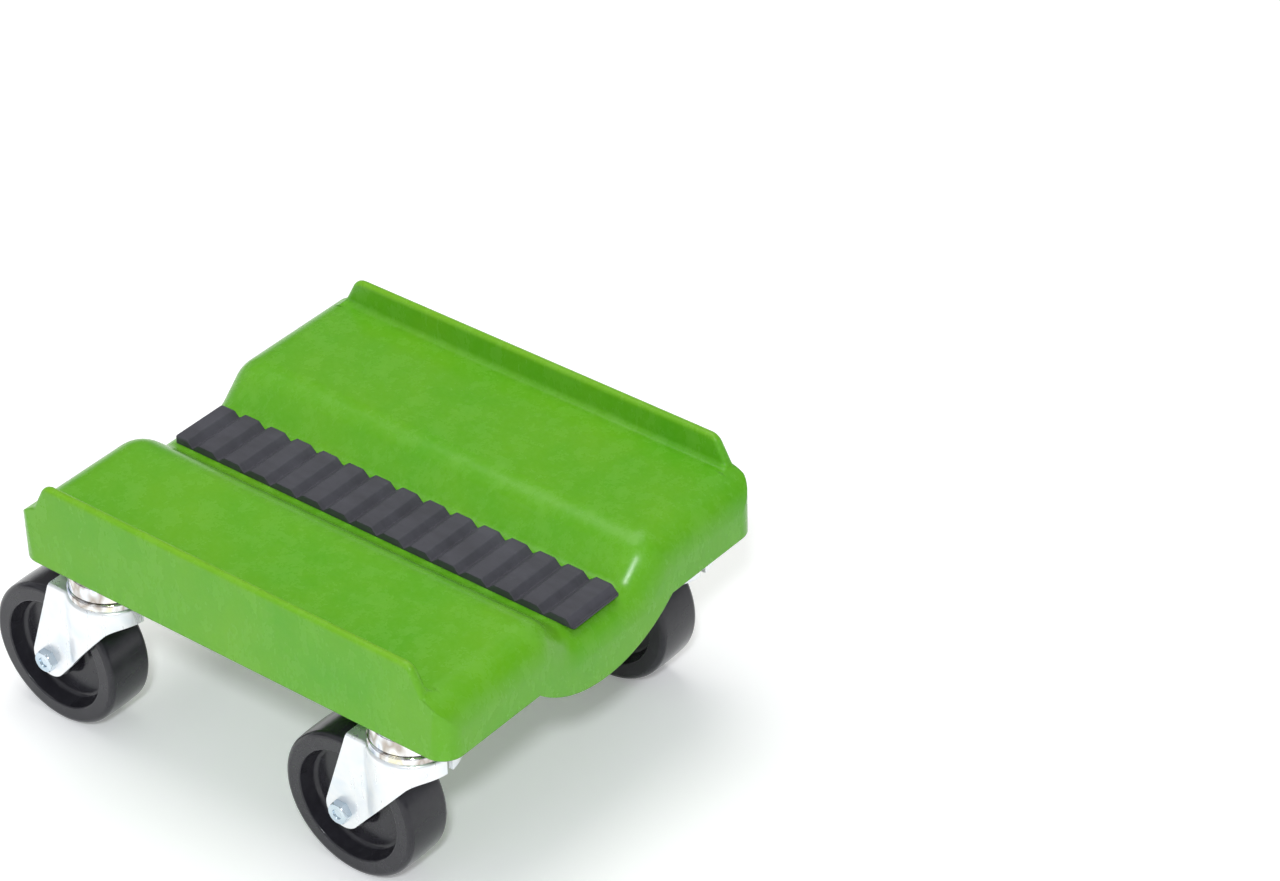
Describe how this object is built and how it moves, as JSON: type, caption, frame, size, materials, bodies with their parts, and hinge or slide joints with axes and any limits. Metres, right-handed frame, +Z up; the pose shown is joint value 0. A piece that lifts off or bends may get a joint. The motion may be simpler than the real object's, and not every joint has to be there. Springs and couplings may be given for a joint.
{
  "type": "ski dolly",
  "caption": "Low four-caster dolly with a moulded deck, a grooved rubber-lined channel between two ledges and raised edge lips, on swivelling hard wheels.",
  "frame": {"origin": "on the floor under the centre of the footprint, with all four casters trailing towards -X", "axes": "+X along the channel and the deck's long side, +Y across the deck, +Z up"},
  "size_m": [0.2906, 0.223, 0.1435],
  "materials": {
    "deck_plastic": "satin moulded polypropylene, fine texture",
    "strip_rubber": "matt black rubber",
    "wheel_plastic": "glossy hard black",
    "zinc_steel": "bright zinc plate",
    "ball_steel": "polished",
    "insert_brass": "plain"
  },
  "bodies": {
    "deck": {"deck_shell": "deck_plastic", "grip_strip": "strip_rubber", "stem_inserts": "insert_brass", "stem_front_left": "zinc_steel", "king_washer_front_left": "zinc_steel", "upper_race_front_left": "zinc_steel", "race_balls_front_left": "ball_steel", "stem_front_right": "zinc_steel", "king_washer_front_right": "zinc_steel", "upper_race_front_right": "zinc_steel", "race_balls_front_right": "ball_steel", "stem_rear_left": "zinc_steel", "king_washer_rear_left": "zinc_steel", "upper_race_rear_left": "zinc_steel", "race_balls_rear_left": "ball_steel", "stem_rear_right": "zinc_steel", "king_washer_rear_right": "zinc_steel", "upper_race_rear_right": "zinc_steel", "race_balls_rear_right": "ball_steel"},
    "fork_front_left": {"fork_front_left": "zinc_steel", "lower_race_front_left": "zinc_steel", "axle_sleeve_front_left": "zinc_steel", "axle_bolt_front_left": "zinc_steel", "axle_nut_front_left": "zinc_steel"},
    "wheel_front_left": {"wheel_front_left": "wheel_plastic"},
    "fork_front_right": {"fork_front_right": "zinc_steel", "lower_race_front_right": "zinc_steel", "axle_sleeve_front_right": "zinc_steel", "axle_bolt_front_right": "zinc_steel", "axle_nut_front_right": "zinc_steel"},
    "wheel_front_right": {"wheel_front_right": "wheel_plastic"},
    "fork_rear_left": {"fork_rear_left": "zinc_steel", "lower_race_rear_left": "zinc_steel", "axle_sleeve_rear_left": "zinc_steel", "axle_bolt_rear_left": "zinc_steel", "axle_nut_rear_left": "zinc_steel"},
    "wheel_rear_left": {"wheel_rear_left": "wheel_plastic"},
    "fork_rear_right": {"fork_rear_right": "zinc_steel", "lower_race_rear_right": "zinc_steel", "axle_sleeve_rear_right": "zinc_steel", "axle_bolt_rear_right": "zinc_steel", "axle_nut_rear_right": "zinc_steel"},
    "wheel_rear_right": {"wheel_rear_right": "wheel_plastic"}
  },
  "joints": [
    {"name": "swivel_front_left", "type": "hinge", "parent": "deck", "child": "fork_front_left", "pos_m": [-0.0767, -0.09, 0.0845], "axis": [0, 0, 1], "continuous": true},
    {"name": "roll_front_left", "type": "hinge", "parent": "fork_front_left", "child": "wheel_front_left", "pos_m": [-0.1072, -0.09, 0.0381], "axis": [0, 1, 0], "continuous": true},
    {"name": "swivel_front_right", "type": "hinge", "parent": "deck", "child": "fork_front_right", "pos_m": [0.1073, -0.09, 0.0845], "axis": [0, 0, 1], "continuous": true},
    {"name": "roll_front_right", "type": "hinge", "parent": "fork_front_right", "child": "wheel_front_right", "pos_m": [0.0768, -0.09, 0.0381], "axis": [0, 1, 0], "continuous": true},
    {"name": "swivel_rear_left", "type": "hinge", "parent": "deck", "child": "fork_rear_left", "pos_m": [-0.0767, 0.09, 0.0845], "axis": [0, 0, 1], "continuous": true},
    {"name": "roll_rear_left", "type": "hinge", "parent": "fork_rear_left", "child": "wheel_rear_left", "pos_m": [-0.1072, 0.09, 0.0381], "axis": [0, 1, 0], "continuous": true},
    {"name": "swivel_rear_right", "type": "hinge", "parent": "deck", "child": "fork_rear_right", "pos_m": [0.1073, 0.09, 0.0845], "axis": [0, 0, 1], "continuous": true},
    {"name": "roll_rear_right", "type": "hinge", "parent": "fork_rear_right", "child": "wheel_rear_right", "pos_m": [0.0768, 0.09, 0.0381], "axis": [0, 1, 0], "continuous": true}
  ]
}
